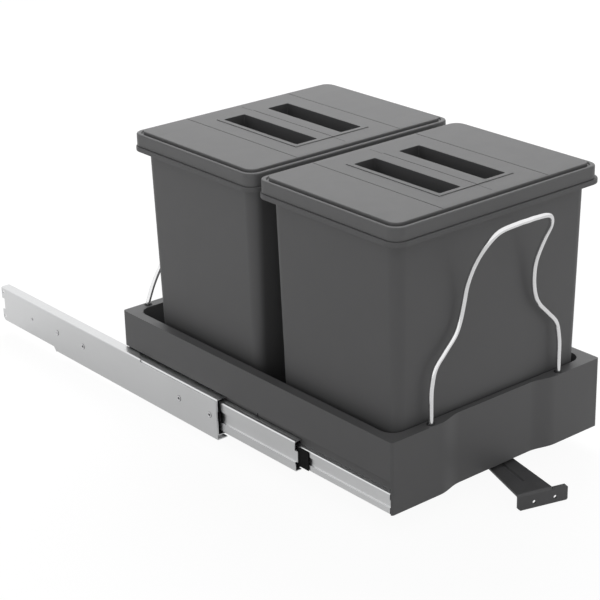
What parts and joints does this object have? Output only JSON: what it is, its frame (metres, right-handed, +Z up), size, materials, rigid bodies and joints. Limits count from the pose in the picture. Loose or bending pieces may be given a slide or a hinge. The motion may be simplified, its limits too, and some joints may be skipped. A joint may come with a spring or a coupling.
{
  "type": "pull-out bin frame",
  "caption": "Dark plastic tray on full-extension ball-bearing runners with lidded waste bins, bright wire hoops at front and rear and a door bracket on a turning arm",
  "frame": {"origin": "Midway between the two runners, at the front ends of the fixed rails, at the height of the runners' centre line.", "axes": "+X is to the right seen from the front, -Y is the way the tray is pulled out of the cabinet, +Z is up."},
  "size_m": [0.3656, 0.8877, 0.3688],
  "materials": {
    "zinc_steel": "bright zinc plated sheet",
    "cage_plastic": "black moulded plastic",
    "ball_steel": "polished ball steel",
    "bin_plastic": "dark grey moulded plastic, fine matt grain",
    "lid_plastic": "mid grey moulded plastic, satin",
    "bright_wire": "bright plated wire",
    "grommet_rubber": "soft black",
    "black_paint": "dark grey powder coat"
  },
  "bodies": {
    "cabinet_rails": {"left_cabinet_bracket": "zinc_steel", "left_fixed_rail": "zinc_steel", "left_rail_rivets": "zinc_steel", "right_cabinet_bracket": "zinc_steel", "right_fixed_rail": "zinc_steel", "right_rail_rivets": "zinc_steel"},
    "pull_out": {"tray": "bin_plastic", "left_drawer_rail": "zinc_steel", "left_rail_screws": "zinc_steel", "right_drawer_rail": "zinc_steel", "right_rail_screws": "zinc_steel", "front_hoop": "bright_wire", "rear_hoop": "bright_wire", "hoop_grommets": "grommet_rubber", "pivot_washer": "zinc_steel", "pivot_screw": "zinc_steel"},
    "left_middle_set": {"left_middle_rail": "zinc_steel"},
    "left_outer_cage_set": {"left_outer_cage": "cage_plastic", "left_outer_balls": "ball_steel"},
    "left_inner_cage_set": {"left_inner_cage": "cage_plastic", "left_inner_balls": "ball_steel"},
    "right_middle_set": {"right_middle_rail": "zinc_steel"},
    "right_outer_cage_set": {"right_outer_cage": "cage_plastic", "right_outer_balls": "ball_steel"},
    "right_inner_cage_set": {"right_inner_cage": "cage_plastic", "right_inner_balls": "ball_steel"},
    "door_arm": {"door_bracket": "black_paint"},
    "front_bin_body": {"front_bin": "bin_plastic"},
    "front_lid_body": {"front_lid": "lid_plastic"},
    "rear_bin_body": {"rear_bin": "bin_plastic"},
    "rear_lid_body": {"rear_lid": "lid_plastic"}
  },
  "joints": [
    {"name": "tray_slide", "type": "slide", "parent": "cabinet_rails", "child": "pull_out", "axis": [0, -1, 0], "range_m": [-0.3055, 0.1945]},
    {"name": "left_middle_slide", "type": "slide", "parent": "cabinet_rails", "child": "left_middle_set", "axis": [0, -1, 0], "range_m": [-0.153, 0.0975]},
    {"name": "left_outer_cage_slide", "type": "slide", "parent": "cabinet_rails", "child": "left_outer_cage_set", "axis": [0, -1, 0], "range_m": [-0.0766, 0.0488]},
    {"name": "left_inner_cage_slide", "type": "slide", "parent": "cabinet_rails", "child": "left_inner_cage_set", "axis": [0, -1, 0], "range_m": [-0.2295, 0.1462]},
    {"name": "right_middle_slide", "type": "slide", "parent": "cabinet_rails", "child": "right_middle_set", "axis": [0, -1, 0], "range_m": [-0.153, 0.0975]},
    {"name": "right_outer_cage_slide", "type": "slide", "parent": "cabinet_rails", "child": "right_outer_cage_set", "axis": [0, -1, 0], "range_m": [-0.0766, 0.0488]},
    {"name": "right_inner_cage_slide", "type": "slide", "parent": "cabinet_rails", "child": "right_inner_cage_set", "axis": [0, -1, 0], "range_m": [-0.2295, 0.1462]},
    {"name": "door_arm_turn", "type": "hinge", "parent": "pull_out", "child": "door_arm", "pos_m": [0.0355, -0.2385, -0.0194], "axis": [0, 0, 1], "range_deg": [-14, 30]},
    {"name": "front_bin_lift", "type": "slide", "parent": "pull_out", "child": "front_bin_body", "axis": [0, 0, 1], "range_m": [0, 0.36]},
    {"name": "front_lid_lift", "type": "slide", "parent": "front_bin_body", "child": "front_lid_body", "axis": [0, 0, 1], "range_m": [0, 0.12]},
    {"name": "rear_bin_lift", "type": "slide", "parent": "pull_out", "child": "rear_bin_body", "axis": [0, 0, 1], "range_m": [0, 0.36]},
    {"name": "rear_lid_lift", "type": "slide", "parent": "rear_bin_body", "child": "rear_lid_body", "axis": [0, 0, 1], "range_m": [0, 0.12]}
  ],
  "couplings": [
    {"joint": "left_middle_slide", "follows": "tray_slide", "ratio": 0.5},
    {"joint": "left_outer_cage_slide", "follows": "tray_slide", "ratio": 0.25},
    {"joint": "left_inner_cage_slide", "follows": "tray_slide", "ratio": 0.75},
    {"joint": "right_middle_slide", "follows": "tray_slide", "ratio": 0.5},
    {"joint": "right_outer_cage_slide", "follows": "tray_slide", "ratio": 0.25},
    {"joint": "right_inner_cage_slide", "follows": "tray_slide", "ratio": 0.75}
  ]
}
